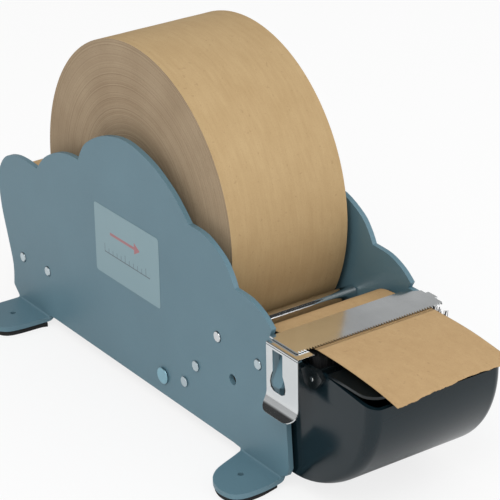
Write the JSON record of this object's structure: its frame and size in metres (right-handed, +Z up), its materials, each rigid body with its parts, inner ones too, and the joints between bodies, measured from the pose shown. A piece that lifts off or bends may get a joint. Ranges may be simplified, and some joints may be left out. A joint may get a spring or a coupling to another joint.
{
  "type": "paper tape dispenser",
  "caption": "Pull and tear counter dispenser for gummed paper tape: scalloped side plates cradle the roll, with a serrated blade, a water tank and a wetting brush at the front.",
  "frame": {"origin": "on the floor, under the middle of the whole object", "axes": "+X towards the tank and the free end of the tape, +Y to the right of someone who looks along +X turned to face the left plate, so the clip is on the -Y side, +Z up"},
  "size_m": [0.3528, 0.1502, 0.1907],
  "materials": {
    "plate_paint": "blue grey gloss stove enamel",
    "zinc": "zinc plated sheet and bright axle ends",
    "chrome_rod": "bright chrome",
    "polished_steel": "polished spring steel",
    "kraft_paper": "dry kraft paper, gummed on one side",
    "core_card": "grey brown card",
    "black_plastic": "moulded, glossy",
    "bristle": "black bristle",
    "nylon": "natural nylon",
    "rubber_pad": "matt black",
    "label_film": "bare printed film, left blank"
  },
  "bodies": {
    "frame": {"left_side_plate": "plate_paint", "left_front_pad": "rubber_pad", "left_rear_pad": "rubber_pad", "left_pan_rivet": "zinc", "left_upper_bracket_rivet": "zinc", "left_lower_bracket_rivet": "zinc", "left_roller_bush": "nylon", "right_side_plate": "plate_paint", "right_front_pad": "rubber_pad", "right_rear_pad": "rubber_pad", "right_pan_rivet": "zinc", "right_upper_bracket_rivet": "zinc", "right_lower_bracket_rivet": "zinc", "right_roller_bush": "nylon", "base_pan": "zinc", "roll_stop_bracket": "zinc", "pan_rod": "zinc", "roll_stop_rod": "chrome_rod", "rear_lower_axle": "zinc", "rear_top_axle": "zinc", "drum_axle": "zinc", "tank_carrier": "zinc", "blade": "polished_steel", "blade_bracket": "polished_steel", "tape_web": "kraft_paper", "blank_label": "label_film"},
    "roll": {"tape_roll": "kraft_paper", "roll_core": "core_card"},
    "top_roller": {"rear_top_roller": "black_plastic"},
    "lower_roller": {"rear_lower_roller": "black_plastic"},
    "drum": {"feed_drum": "black_plastic"},
    "clip": {"clip_lever": "polished_steel"},
    "tank": {"water_tank": "black_plastic", "brush_holder": "black_plastic", "brush": "bristle", "left_holder_pin": "polished_steel", "right_holder_pin": "polished_steel", "lid_pin": "polished_steel"},
    "lid": {"tank_lid": "black_plastic"},
    "loose_end": {"tape_end": "kraft_paper"}
  },
  "joints": [
    {"name": "roll_spin", "type": "hinge", "parent": "frame", "child": "roll", "pos_m": [-0.04455, 0, 0.103], "axis": [0, 1, 0], "continuous": true},
    {"name": "top_roller_spin", "type": "hinge", "parent": "frame", "child": "top_roller", "pos_m": [-0.15355, 0, 0.0728], "axis": [0, 1, 0], "continuous": true},
    {"name": "lower_roller_spin", "type": "hinge", "parent": "frame", "child": "lower_roller", "pos_m": [-0.15335, 0, 0.0337], "axis": [0, 1, 0], "continuous": true},
    {"name": "drum_spin", "type": "hinge", "parent": "frame", "child": "drum", "pos_m": [0.07715, 0, 0.0615], "axis": [0, 1, 0], "continuous": true},
    {"name": "clip_release", "type": "hinge", "parent": "frame", "child": "clip", "pos_m": [0.1062, -0.0497, 0.0819], "axis": [-1, 0, 0], "range_deg": [0, 12], "stiffness_Nm_per_rad": 0.8},
    {"name": "tank_slide", "type": "slide", "parent": "frame", "child": "tank", "axis": [0.9954, 0, -0.0958], "range_m": [0, 0.06]},
    {"name": "lid_hinge", "type": "hinge", "parent": "tank", "child": "lid", "pos_m": [0.12545, 0, 0.0748], "axis": [0, -1, 0], "range_deg": [0, 80]},
    {"name": "tape_lift", "type": "hinge", "parent": "frame", "child": "loose_end", "pos_m": [0.11275, 0, 0.0822], "axis": [0, -1, 0], "range_deg": [0, 75]}
  ],
  "couplings": [
    {"joint": "top_roller_spin", "follows": "roll_spin", "ratio": -5.9257},
    {"joint": "lower_roller_spin", "follows": "roll_spin", "ratio": -6.0483},
    {"joint": "drum_spin", "follows": "roll_spin", "ratio": 5.6581},
    {"joint": "tape_lift", "follows": "lid_hinge", "ratio": 0.85}
  ]
}
